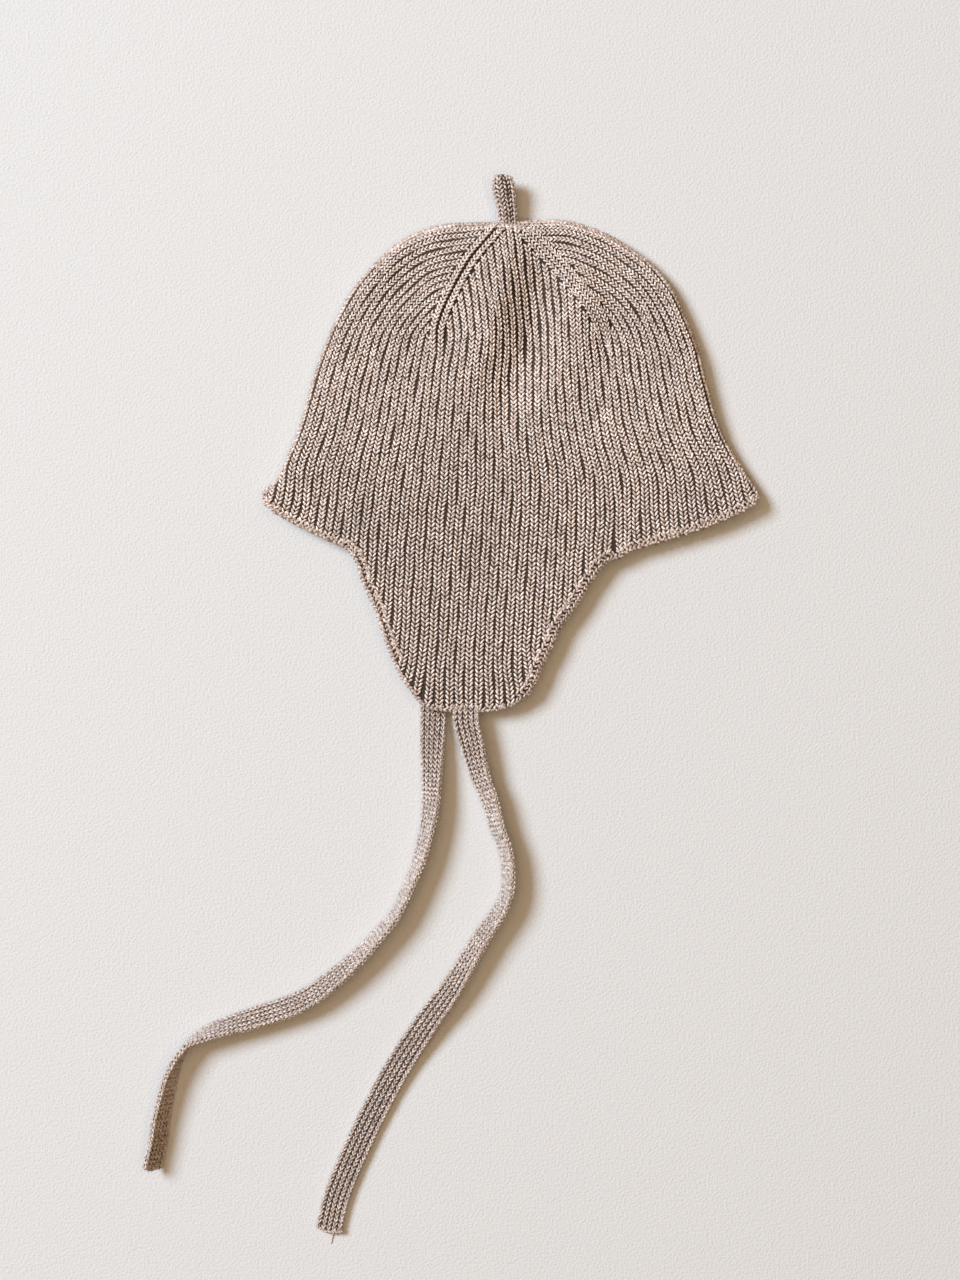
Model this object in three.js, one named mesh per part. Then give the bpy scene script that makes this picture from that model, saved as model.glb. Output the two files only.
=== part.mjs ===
// Knitted baby bonnet with ear flaps and ties, lying flat on its back layer.
// Millimetres. +Z up from the surface it lies on, +Y towards the crown, +X to the wearer's side.
import * as THREE from 'three'

// ---- sizes ----
const KNIT = 2.2 // thickness of one knitted layer
const FOLD_RADIUS = 6 // how far in from a side fold the knit takes to lie flat
const FOLD_MID = 4.2 // height of the fold line between front and back layer
const FLAP_TOP = 9.6 // height of the front layer's face over the ear flap
const CROWN_RISE = 2.6 // how much higher the face of the crown lies
const COLUMNS = 34 // steps across a layer
const ROWS = 25 // steps from the mouth to the crown
const GAP = 0.35 // air left between two pieces that are sewn together
const TIE_WIDTH = 12
const TIE_THICK = 3
const TIE_STEPS = 44
const STEM_STEPS = 9

// ---- outline of the bonnet as it lies, seen from above (x, y) ----
const LEFT_FOLD = [
  [-105.4, -19.5], [-99.1, -13.9], [-94.9, -4.6], [-89.5, 8.8], [-84.4, 26.9], [-78.1, 44.5], [-69.3, 62.6],
  [-58.8, 76]
]
const TOP_FOLD = [
  [-58.8, 76], [-46.6, 86.5], [-30.2, 92.8], [-6.3, 94.1], [2.9, 94.4], [20.6, 94.9], [32.8, 92], [44.9, 86.5],
  [56.7, 78.5]
]
const RIGHT_FOLD = [
  [104.2, -19.7], [100.4, -13.9], [94.1, -4.6], [87.4, 8.8], [82.3, 26.9], [79.4, 38.6], [73.1, 55], [65.9, 68.9],
  [56.7, 78.5]
]
// brim and ear flap, left to right
const MOUTH = [
  [-105.4, -19.5], [-103.2, -25.6], [-94.9, -31.1], [-81.9, -37.8], [-70.6, -43.2], [-65.8, -49], [-63, -57.5],
  [-58, -68.5], [-53.3, -82.3], [-48.3, -94.5], [-42.4, -103.7], [-36.6, -110], [-27.7, -111.8], [-11.8, -112.1],
  [-2.9, -110.9], [3.6, -107.6], [8.4, -103.2], [13, -92.8], [16.4, -86.1], [20.2, -77.3], [26, -69.3],
  [31.5, -60.5], [37.8, -51.6], [43, -47.8], [50.8, -43.7], [70.1, -37.8], [86.9, -31.9], [100.4, -25.2],
  [104.2, -19.7]
]

// ---- soft folds and dents of the front layer ----
// along: points of the crest as (x, y, height); left, right: how wide its two slopes are
const SOFT_FOLDS = [
  { along: [[-2.9, 84, 3], [-7.1, 61, 6], [-11.3, 44, 5.8], [-19.7, 21, 2.6], [-28, 2, 0]], left: 13, right: 8 },
  { along: [[12, 84, -0.8], [11, 65, -3.6], [7.6, 42, -3.6], [-2.9, 15, -1.4], [-8, 2, 0]], left: 6, right: 7 },
  { along: [[27, 88, 0.6], [29, 73, 2.2], [28, 52, 2.8], [24, 27, 1.6], [20, 8, 0]], left: 11, right: 7 },
  { along: [[42, 62, -0.4], [40, 44, -1.4], [38, 26, 0]], left: 5, right: 7 },
  { along: [[-58, 48, 0], [-51, 62, -2.2], [-38, 76, -1.8], [-24, 84, 0]], left: 8, right: 8 },
  { along: [[-94, -17, -0.6], [-80, -23, -1.2], [-66, -28, 0]], left: 9, right: 9 },
  { along: [[48, -22, 0], [64, -20, -1], [84, -12, -0.6]], left: 14, right: 14 },
  { along: [[76, 4, 0.4], [70, 32, 1.4], [62, 52, 0.4]], left: 12, right: 8 },
  { along: [[-78, 4, 0], [-72, 22, 1.2], [-64, 38, 0.4]], left: 8, right: 12 }
]

// ---- ties: centre line (x, y, roll in degrees lifting the right edge of a tie that runs down, least height) ----
const FRONT_TIE = [
  [-19.3, -112.8, 4, 8.3], [-19.2, -116, 10, 8.2], [-17, -125, 26, 7.2], [-13.4, -138.6, 46, 5.8],
  [-9, -150, 56, 5.6], [-6.3, -160, 62, 0], [-2.5, -170.5, 66, 0], [-1.3, -182.7, 69, 0],
  [-2.9, -191.1, 69, 0], [-6.3, -197.4, 65, 0], [-13.4, -207.9, 58, 0], [-19.7, -218.8, 50, 0],
  [-26, -229.3, 40, 0], [-34.9, -241.5, 26, 0], [-47, -260, 10, 0], [-57.1, -278.5, 5, 0],
  [-65.9, -296.9, 4, 0], [-73.5, -315.4, 4, 0], [-77.3, -330.5, 3, 0]
]
const BACK_TIE = [
  [-33.2, -112.8, 4, 1.6], [-33.2, -116, 8, 1.6], [-33.4, -125, 24, 0], [-33.6, -138.6, 42, 0],
  [-34.4, -154.6, 57, 0], [-38.2, -172.2, 67, 0], [-43.7, -186.5, 73, 0], [-49.1, -197.4, 74, 0],
  [-56.3, -206.2, 70, 0], [-65.9, -216.3, 62, 0], [-76.4, -225.5, 54, 0], [-89, -233.9, 48, 0],
  [-108.4, -240.7, 49, 0], [-119.7, -244, 60, 0], [-131, -248.2, 77, 0], [-137.3, -252.8, 92, 0],
  [-142.8, -263.8, 107, 0], [-147, -281, 117, 0], [-148.7, -292.3, 121, 0], [-151.2, -304.5, 124, 0]
]
// half of the tie's section: share of the half width, share of the half thickness
const TIE_SECTION = [
  [0.82, -1], [0, -1], [-0.82, -1], [-1, -0.45], [-1, 0.45], [-0.82, 1], [0, 1], [0.82, 1], [1, 0.45], [1, -0.45]
]

// ---- stem on the crown: centre line (x, y, z, half width, half height) ----
const STEM = [
  [-1.8, 94.6, 6.2, 4.4, 3.4], [-2.2, 98.4, 6.8, 4.5, 3.5], [-3, 103, 7.6, 4.9, 3.7], [-3.7, 108, 8.3, 5.1, 3.8],
  [-4.1, 111, 8.7, 4.3, 3.2], [-4.2, 112.6, 8.9, 2.4, 1.9]
]
const STEM_SIDES = 12

const lerp = THREE.MathUtils.lerp
const clamp = THREE.MathUtils.clamp
const smooth = THREE.MathUtils.smoothstep

const wool = (hex) => new THREE.MeshStandardMaterial({ color: hex, roughness: 0.95, metalness: 0 })

const curve = (table) => new THREE.SplineCurve(table.map(([x, y]) => new THREE.Vector2(x, y)))

// closed mesh from rings of points; every ring has the same number of points
function solid(name, points, faces, material) {
  const geometry = new THREE.BufferGeometry()
  geometry.setAttribute('position', new THREE.Float32BufferAttribute(points.flat(), 3))
  geometry.setIndex(faces.flat())
  geometry.computeVertexNormals()
  const mesh = new THREE.Mesh(geometry, material)
  mesh.name = name
  return mesh
}

const left = curve(LEFT_FOLD)
const topEdge = curve(TOP_FOLD)
const right = curve(RIGHT_FOLD)
const mouth = curve(MOUTH)

// the fold line all round, from the left corner over the crown to the right corner
const FOLD_LINE = [
  ...left.getSpacedPoints(40),
  ...topEdge.getSpacedPoints(40).slice(1),
  ...right.getSpacedPoints(40).reverse().slice(1)
]

function nearestOn(line, x, y) {
  let best = { distance: Infinity }
  for (let i = 0; i + 1 < line.length; i++) {
    const a = line[i]
    const b = line[i + 1]
    const dx = b.x - a.x
    const dy = b.y - a.y
    const t = clamp(((x - a.x) * dx + (y - a.y) * dy) / (dx * dx + dy * dy), 0, 1)
    const distance = Math.hypot(x - a.x - t * dx, y - a.y - t * dy)
    const side = dx * (y - a.y) - dy * (x - a.x)
    if (distance < best.distance) best = { distance, side, i, t }
  }
  return best
}

const folds = SOFT_FOLDS.map((fold) => ({ ...fold, line: fold.along.map(([x, y]) => new THREE.Vector2(x, y)) }))

// height a soft fold adds at a point
function foldHeight(fold, x, y) {
  const near = nearestOn(fold.line, x, y)
  const height = lerp(fold.along[near.i][2], fold.along[near.i + 1][2], near.t)
  const onLeft = near.side * Math.sign(fold.line[0].y - fold.line[1].y || 1) < 0
  const width = onLeft ? fold.left : fold.right
  return height * Math.exp(-((near.distance / width) ** 2))
}

// height of the front layer's outer face, away from the folds at its sides
function faceHeight(x, y, distance) {
  const crown = CROWN_RISE * smooth(y, -50, 20) * (1 - Math.exp(-distance / 14))
  return FLAP_TOP + crown + folds.reduce((sum, fold) => sum + foldHeight(fold, x, y), 0)
}

// rounding of the fold: 0 on the fold line, 1 once the knit lies flat
function rounding(distance, radius) {
  return Math.sqrt(1 - (1 - clamp(distance / radius, 0, 1)) ** 2)
}

// point of a fold curve moved inwards by the knit's thickness
function inset(line, s, amount, turn) {
  const p = line.getPointAt(s)
  const t = line.getTangentAt(s)
  return new THREE.Vector2(p.x + turn * t.y * amount, p.y - turn * t.x * amount)
}

// plan position of a grid point: u from left fold to right fold, v from mouth to crown
function plan(u, v, amount) {
  const trim = amount / 300
  const l = (s) => inset(left, s, amount, 1)
  const r = (s) => inset(right, s, amount, -1)
  const t = (s) => inset(topEdge, s, amount, 1)
  const corner = { a: l(0), b: r(0), c: l(1).add(t(0)).multiplyScalar(0.5), d: r(1).add(t(1)).multiplyScalar(0.5) }
  const m = (s) => {
    const p = mouth.getPointAt(lerp(trim, 1 - trim, s))
    const toLeft = corner.a.clone().sub(mouth.getPointAt(trim)).multiplyScalar((1 - s) ** 9)
    const toRight = corner.b.clone().sub(mouth.getPointAt(1 - trim)).multiplyScalar(s ** 9)
    return p.add(toLeft).add(toRight)
  }
  const across = m(u).multiplyScalar(1 - v).add(t(u).multiplyScalar(v))
  const up = l(v).multiplyScalar(1 - u).add(r(v).multiplyScalar(u))
  const corners = corner.a.clone().multiplyScalar((1 - u) * (1 - v))
    .add(corner.b.clone().multiplyScalar(u * (1 - v)))
    .add(corner.c.clone().multiplyScalar((1 - u) * v))
    .add(corner.d.clone().multiplyScalar(u * v))
  return across.add(up).sub(corners)
}

// one skin of the bonnet (outer or inner): a closed pocket with its edge at the mouth
// ring: the mouth's points, front layer left to right, then back layer right to left
function skin(points, amount) {
  const radius = FOLD_RADIUS - amount
  const grid = { front: [], back: [] }
  for (let row = 0; row <= ROWS; row++) {
    const v = Math.sin((Math.PI / 2) * (row / ROWS))
    grid.front.push([])
    grid.back.push([])
    for (let column = 0; column <= COLUMNS; column++) {
      const u = 0.5 - 0.5 * Math.cos(Math.PI * (column / COLUMNS))
      const p = plan(u, v, amount)
      const onFold = row === ROWS || column === 0 || column === COLUMNS
      const distance = onFold ? 0 : nearestOn(FOLD_LINE, p.x, p.y).distance
      const round = onFold ? 0 : rounding(distance - amount, radius)
      const high = faceHeight(p.x, p.y, distance) - amount
      grid.front[row].push(points.push([p.x, p.y, lerp(FOLD_MID, high, round)]) - 1)
      const shared = grid.front[row][column]
      grid.back[row].push(onFold ? shared : points.push([p.x, p.y, lerp(FOLD_MID, amount, round)]) - 1)
    }
  }
  return grid
}

function sheetFaces(rows, flip) {
  const faces = []
  for (let row = 0; row < ROWS; row++) {
    for (let column = 0; column < COLUMNS; column++) {
      const a = rows[row][column]
      const b = rows[row][column + 1]
      const c = rows[row + 1][column + 1]
      const d = rows[row + 1][column]
      faces.push(...(flip ? [[a, c, b], [a, d, c]] : [[a, b, c], [a, c, d]]))
    }
  }
  return faces
}

function bonnetBody() {
  const points = []
  const outer = skin(points, 0)
  const inner = skin(points, KNIT)
  const faces = [
    ...sheetFaces(outer.front, false),
    ...sheetFaces(outer.back, true),
    ...sheetFaces(inner.front, true),
    ...sheetFaces(inner.back, false)
  ]
  const outerRim = [...outer.front[0], ...outer.back[0].slice(1, -1).reverse()]
  const innerRim = [...inner.front[0], ...inner.back[0].slice(1, -1).reverse()]
  outerRim.forEach((a, i) => {
    const next = (i + 1) % outerRim.length
    faces.push([a, innerRim[i], innerRim[next]], [a, innerRim[next], outerRim[next]])
  })
  return solid('bonnet_body', points, faces, wool(0xb29e8e))
}

// closed tube through rings of points
function tube(name, rings, material) {
  const sides = rings[0].length
  const points = rings.flat()
  const faces = []
  for (let r = 0; r + 1 < rings.length; r++) {
    for (let s = 0; s < sides; s++) {
      const a = r * sides + s
      const b = r * sides + ((s + 1) % sides)
      faces.push([a, b, b + sides], [a, b + sides, a + sides])
    }
  }
  const last = (rings.length - 1) * sides
  for (let s = 1; s + 1 < sides; s++) {
    faces.push([0, s + 1, s], [last, last + s, last + s + 1])
  }
  return solid(name, points, faces, material)
}

function tie(name, table) {
  const line = new THREE.CatmullRomCurve3(table.map(([x, y]) => new THREE.Vector3(x, y, 0)), false, 'centripetal')
  const twist = new THREE.CatmullRomCurve3(table.map(([, , roll, low]) => new THREE.Vector3(roll, low, 0)))
  const rings = []
  for (let step = 0; step <= TIE_STEPS; step++) {
    const t = line.getUtoTmapping(step / TIE_STEPS)
    const p = line.getPoint(t)
    const along = line.getTangent(t)
    const { x: rollDegrees, y: low } = twist.getPoint(t)
    const roll = THREE.MathUtils.degToRad(rollDegrees)
    const tip = step === TIE_STEPS ? 0.84 : 1
    const wide = new THREE.Vector3(along.y * Math.cos(roll), -along.x * Math.cos(roll), -Math.sin(roll))
    const thick = new THREE.Vector3().crossVectors(wide, along)
    const ring = TIE_SECTION.map(([w, h]) => new THREE.Vector3()
      .addScaledVector(wide, (w * tip * TIE_WIDTH) / 2)
      .addScaledVector(thick, (h * TIE_THICK) / 2))
    const lowest = Math.min(...ring.map((q) => q.z))
    const middle = Math.max(0.1 - lowest, low)
    rings.push(ring.map((q) => [p.x + q.x, p.y + q.y, middle + q.z]))
  }
  return tube(name, rings, wool(0xa8978a))
}

function crownStem() {
  const line = new THREE.CatmullRomCurve3(STEM.map(([x, y, z]) => new THREE.Vector3(x, y, z)))
  const size = new THREE.CatmullRomCurve3(STEM.map(([, , , w, h]) => new THREE.Vector3(w, h, 0)))
  const rings = []
  for (let step = 0; step <= STEM_STEPS; step++) {
    const s = Math.sin((Math.PI / 2) * (step / STEM_STEPS))
    const p = line.getPoint(s)
    const { x: halfWide, y: halfHigh } = size.getPoint(s)
    const ring = []
    for (let side = 0; side < STEM_SIDES; side++) {
      const angle = (-2 * Math.PI * side) / STEM_SIDES
      ring.push([p.x + halfWide * Math.cos(angle), p.y + GAP, p.z + halfHigh * Math.sin(angle)])
    }
    rings.push(ring)
  }
  return tube('crown_stem', rings, wool(0xae9a8b))
}

const group = new THREE.Group()
group.add(bonnetBody(), crownStem(), tie('front_tie', FRONT_TIE), tie('back_tie', BACK_TIE))

// the origin is under the middle of the bonnet, ties left out
const box = new THREE.Box3().setFromObject(group.children[0]).union(new THREE.Box3().setFromObject(group.children[1]))
const middle = box.getCenter(new THREE.Vector3())
group.children.forEach((mesh) => mesh.geometry.translate(-middle.x, -middle.y, 0))

export default group
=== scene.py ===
"""Knitted baby bonnet: the visual model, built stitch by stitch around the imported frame.

Lengths are millimetres in the frame's axes until a mesh is made, which turns them into metres.
"""
import math

import bpy
import numpy as np
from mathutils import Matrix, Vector


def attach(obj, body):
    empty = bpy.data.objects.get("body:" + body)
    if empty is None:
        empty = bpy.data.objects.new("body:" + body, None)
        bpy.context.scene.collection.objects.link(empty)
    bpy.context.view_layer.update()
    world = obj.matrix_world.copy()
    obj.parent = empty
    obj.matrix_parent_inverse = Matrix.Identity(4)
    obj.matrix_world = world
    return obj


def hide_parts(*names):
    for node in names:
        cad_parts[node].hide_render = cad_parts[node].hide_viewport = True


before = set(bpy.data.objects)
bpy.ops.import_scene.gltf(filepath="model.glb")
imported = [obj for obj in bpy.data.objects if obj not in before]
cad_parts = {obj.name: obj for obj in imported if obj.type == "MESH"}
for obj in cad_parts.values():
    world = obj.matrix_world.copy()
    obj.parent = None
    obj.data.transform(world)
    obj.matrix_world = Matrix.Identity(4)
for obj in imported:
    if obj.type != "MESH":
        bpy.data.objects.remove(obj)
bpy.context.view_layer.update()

MM = 0.001
rng = np.random.default_rng(20)

# -------- sizes
SHIFT = np.array([0.6, -0.4025])  # puts the origin under the bonnet's middle, as in the part's source
KNIT = 2.2  # thickness of a knitted layer
FOLD_RADIUS = 6.0
FOLD_MID = 4.2  # height of the fold line
FLAP_TOP = 9.6  # height of the front layer over the flap
CROWN_RISE = 2.6  # how much higher it lies over the crown
CROWN_SLOPE = (-50, 20)  # y between which it rises
RISE_REACH = 14  # how far in from the fold the rise takes
COURSE = 1.80  # height of a stitch
V_WIDTH = 3.45  # widest a stitch gets
YARN = 0.62  # how deep the middle of a stitch's yarn lies under the knit's face

LEFT_FOLD = [
    (-105.4, -19.5), (-99.1, -13.9), (-94.9, -4.6), (-89.5, 8.8), (-84.4, 26.9), (-78.1, 44.5),
    (-69.3, 62.6), (-58.8, 76),
]
TOP_FOLD = [
    (-58.8, 76), (-46.6, 86.5), (-30.2, 92.8), (-6.3, 94.1), (2.9, 94.4), (20.6, 94.9), (32.8, 92),
    (44.9, 86.5), (56.7, 78.5),
]
RIGHT_FOLD = [
    (104.2, -19.7), (100.4, -13.9), (94.1, -4.6), (87.4, 8.8), (82.3, 26.9), (79.4, 38.6), (73.1, 55),
    (65.9, 68.9), (56.7, 78.5),
]
MOUTH = [
    (-105.4, -19.5), (-103.2, -25.6), (-94.9, -31.1), (-81.9, -37.8), (-70.6, -43.2), (-65.8, -49),
    (-63, -57.5), (-58, -68.5), (-53.3, -82.3), (-48.3, -94.5), (-42.4, -103.7), (-36.6, -110),
    (-27.7, -111.8), (-11.8, -112.1), (-2.9, -110.9), (3.6, -107.6), (8.4, -103.2), (13, -92.8),
    (16.4, -86.1), (20.2, -77.3), (26, -69.3), (31.5, -60.5), (37.8, -51.6), (43, -47.8), (50.8, -43.7),
    (70.1, -37.8), (86.9, -31.9), (100.4, -25.2), (104.2, -19.7),
]
SPAN = 16  # curve points between two given points of an outline
TIE_SPAN = 12  # the same in a tie and in the stem
# places of the flap's corners in MOUTH
FLAP_LEFT, FLAP_LEFT_FOOT, FLAP_RIGHT_FOOT, FLAP_RIGHT = 4, 11, 15, 23

# crest points (x, y, height), then how wide the left and the right slope are
SOFT_FOLDS = [
    ([(-2.9, 84, 3), (-7.1, 61, 6), (-11.3, 44, 5.8), (-19.7, 21, 2.6), (-28, 2, 0)], 13, 8),
    ([(12, 84, -0.8), (11, 65, -3.6), (7.6, 42, -3.6), (-2.9, 15, -1.4), (-8, 2, 0)], 6, 7),
    ([(27, 88, 0.6), (29, 73, 2.2), (28, 52, 2.8), (24, 27, 1.6), (20, 8, 0)], 11, 7),
    ([(42, 62, -0.4), (40, 44, -1.4), (38, 26, 0)], 5, 7),
    ([(-58, 48, 0), (-51, 62, -2.2), (-38, 76, -1.8), (-24, 84, 0)], 8, 8),
    ([(-94, -17, -0.6), (-80, -23, -1.2), (-66, -28, 0)], 9, 9),
    ([(48, -22, 0), (64, -20, -1), (84, -12, -0.6)], 14, 14),
    ([(76, 4, 0.4), (70, 32, 1.4), (62, 52, 0.4)], 12, 8),
    ([(-78, 4, 0), (-72, 22, 1.2), (-64, 38, 0.4)], 8, 12),
]

# lines where the crown's ribs are knitted together, foot to top
LEFT_DECREASE = [(-32.3, 44.1), (-29.6, 53.5), (-25.6, 62.6), (-18.3, 75.8), (-11.5, 84.2), (-5.2, 91.2)]
RIGHT_DECREASE = [(38.4, 47.8), (35.6, 53.6), (32.6, 58.6), (20.6, 73.1), (12.5, 82.2), (5.4, 89.6)]
CROWN_CHAIN = [(-8.5, 91.6), (-3, 91.5), (3, 90.6), (9.5, 88.6)]
LEFT_CHAINS = (15, 16)  # ribs that run on into the left line
RIGHT_CHAINS = (38, 39)
CHAIN_GAPS = ((1.75, -1.75), (2.3, 0, -2.3))  # places of the chains beside the left and the right line

# ties: x, y, roll in degrees lifting the right edge of a tie that runs down, least height of the middle
FRONT_TIE = [
    (-19.3, -110.3, 0, 8.4), (-19.2, -116, 10, 8.2), (-17, -125, 26, 7.2), (-13.4, -138.6, 46, 5.8),
    (-9, -150, 56, 5.6), (-6.3, -160, 62, 0), (-2.5, -170.5, 66, 0), (-1.3, -182.7, 69, 0),
    (-2.9, -191.1, 69, 0), (-6.3, -197.4, 65, 0), (-13.4, -207.9, 58, 0), (-19.7, -218.8, 50, 0),
    (-26, -229.3, 40, 0), (-34.9, -241.5, 26, 0), (-47, -260, 10, 0), (-57.1, -278.5, 5, 0),
    (-65.9, -296.9, 4, 0), (-73.5, -315.4, 4, 0), (-77.3, -330.5, 3, 0),
]
BACK_TIE = [
    (-33.2, -107.5, 0, 1.6), (-33.2, -116, 8, 1.6), (-33.4, -125, 24, 0), (-33.6, -138.6, 42, 0),
    (-34.4, -154.6, 57, 0), (-38.2, -172.2, 67, 0), (-43.7, -186.5, 73, 0), (-49.1, -197.4, 74, 0),
    (-56.3, -206.2, 70, 0), (-65.9, -216.3, 62, 0), (-76.4, -225.5, 54, 0), (-89, -233.9, 48, 0),
    (-108.4, -240.7, 49, 0), (-119.7, -244, 60, 0), (-131, -248.2, 77, 0), (-137.3, -252.8, 92, 0),
    (-142.8, -263.8, 107, 0), (-147, -281, 117, 0), (-148.7, -292.3, 121, 0), (-151.2, -304.5, 124, 0),
]
TIE_WIDTH = 12.0
TIE_THICK = 3.0
TIE_COURSE = 1.95

# stem: x, y, z, half width, half height
STEM = [
    (-1.5, 92.4, 6.0, 4.3, 3.3), (-1.8, 94.95, 6.2, 4.4, 3.4), (-2.2, 98.75, 6.8, 4.5, 3.5),
    (-3, 103.35, 7.6, 4.9, 3.7), (-3.7, 108.35, 8.3, 5.1, 3.8), (-4.1, 111.35, 8.7, 4.3, 3.2),
    (-4.2, 112.95, 8.9, 2.4, 1.9),
]


# -------- curves
def catmull(points, per_span=SPAN):
    """Dense points on a smooth curve through the given rows."""
    p = np.array(points, float)
    p = np.vstack([2 * p[0] - p[1], p, 2 * p[-1] - p[-2]])
    t = np.linspace(0, 1, per_span, endpoint=False)[:, None]
    out = []
    for a, b, c, d in zip(p[:-3], p[1:-2], p[2:-1], p[3:]):
        square = (2 * a - 5 * b + 4 * c - d) * t**2
        cube = (3 * b - a - 3 * c + d) * t**3
        out.append(0.5 * (2 * b + (c - a) * t + square + cube))
    return np.vstack(out + [p[-2][None]])


def lengths(p):
    """Distance of each point from the start of curve p, seen from above."""
    return np.concatenate([[0], np.cumsum(np.linalg.norm(np.diff(p[:, :2], axis=0), axis=1))])


def along(p, where):
    """Rows of curve p at the given distances from its start."""
    s = lengths(p)
    return np.stack([np.interp(where, s, p[:, i]) for i in range(p.shape[1])], axis=1)


def resample(p, step, jitter=0.0):
    """Points about one step apart along p, each moved by up to jitter steps."""
    total = lengths(p)[-1]
    count = max(2, int(round(total / step)))
    where = (np.arange(count) + 0.5) * total / count
    return along(p, where + jitter * step * rng.uniform(-1, 1, count))


def directions(p):
    """Unit directions along the rows of p."""
    d = np.gradient(p, axis=0)
    return d / np.maximum(np.linalg.norm(d, axis=1, keepdims=True), 1e-9)


# columns of what nearest() gives
GAP = 0
LEFT_NORMAL = slice(1, 3)
SPOT = 3
SIDE = 4
CHUNK = 4000  # points worked out at a time


def nearest(line, xy):
    """Distance from each point to a line, the line's left normal there, the place along it and the side."""
    a, b = line[:-1, :2], line[1:, :2]
    ab = b - a
    size = np.maximum((ab**2).sum(1), 1e-9)
    out = np.empty((len(xy), 5))
    for start in range(0, len(xy), CHUNK):
        q = xy[start:start + CHUNK, None, :]
        t = np.clip(((q - a) * ab).sum(2) / size, 0, 1)
        gap = q - a - t[..., None] * ab
        dist = np.hypot(gap[..., 0], gap[..., 1])
        i = dist.argmin(1)
        rows = np.arange(len(i))
        d = ab[i] / np.sqrt(size[i])[:, None]
        side = d[:, 0] * gap[rows, i, 1] - d[:, 1] * gap[rows, i, 0]
        columns = [dist[rows, i], -d[:, 1], d[:, 0], i + t[rows, i], side]
        out[start:start + CHUNK] = np.stack(columns, axis=1)
    return out


def moved(table):
    """The x and y of a table, moved to the frame's origin."""
    return np.array(table, float)[:, :2] + SHIFT


def blur(p, reach):
    """Curve p with its small wiggles taken out."""
    kernel = np.exp(-np.linspace(-2, 2, 2 * reach + 1) ** 2)
    kernel /= kernel.sum()
    padded = np.vstack([2 * p[0] - p[reach:0:-1], p, 2 * p[-1] - p[-2:-reach - 2:-1]])
    return np.stack([np.convolve(padded[:, i], kernel, "valid") for i in range(2)], axis=1)


left_fold = catmull(moved(LEFT_FOLD))
top_fold = catmull(moved(TOP_FOLD))
right_fold = catmull(moved(RIGHT_FOLD))
mouth = catmull(moved(MOUTH))
# from the left corner over the crown to the right corner
fold_line = np.vstack([left_fold, top_fold[1:], right_fold[-2::-1]])
soft_folds = [(np.array(c, float) + np.array([*SHIFT, 0]), lw, rw) for c, lw, rw in SOFT_FOLDS]
left_decrease = catmull(moved(LEFT_DECREASE))
right_decrease = catmull(moved(RIGHT_DECREASE))


# -------- the knit's face
def smoothstep(x, low, high):
    """0 below low and 1 above high, with a smooth rise between them."""
    t = np.clip((x - low) / (high - low), 0, 1)
    return t * t * (3 - 2 * t)


def face_height(xy, distance):
    """Height of the front layer's face where it lies open, as in the part's source."""
    high = FLAP_TOP + CROWN_RISE * smoothstep(xy[:, 1], *CROWN_SLOPE) * (1 - np.exp(-distance / RISE_REACH))
    for crest, left_width, right_width in soft_folds:
        near = nearest(crest, xy)
        i = np.minimum(near[:, SPOT].astype(int), len(crest) - 2)
        t = near[:, SPOT] - i
        bump = crest[i, 2] * (1 - t) + crest[i + 1, 2] * t
        downwards = np.sign(crest[0, 1] - crest[1, 1]) or 1
        width = np.where(near[:, SIDE] * downwards < 0, left_width, right_width)
        high += bump * np.exp(-(near[:, GAP] / width) ** 2)
    return high


def knit_face(xy, front=True):
    """Place and outward normal of the outer face over plan points xy."""
    near = nearest(fold_line, xy)
    distance = near[:, GAP]
    inward = -near[:, LEFT_NORMAL]
    cos = 1 - np.clip(distance / FOLD_RADIUS, 0, 1)
    sin = np.sqrt(1 - cos**2)
    if not front:
        z = FOLD_MID * (1 - sin)
        normal = np.column_stack([-inward * (cos / FOLD_RADIUS)[:, None], -sin / FOLD_MID])
    else:
        high = face_height(xy, distance)
        step = 0.5
        slope = np.stack([
            (face_height(xy + [step, 0], distance) - high) / step,
            (face_height(xy + [0, step], distance) - high) / step,
        ], axis=1)
        rise = high - FOLD_MID
        z = FOLD_MID + rise * sin
        normal = np.column_stack([
            -inward * (cos / FOLD_RADIUS)[:, None] - slope * (sin / rise)[:, None], sin / rise])
    normal /= np.linalg.norm(normal, axis=1, keepdims=True)
    return np.column_stack([xy, z]), normal


# -------- meshes
NO_TRIS = np.zeros((0, 3), int)


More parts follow.
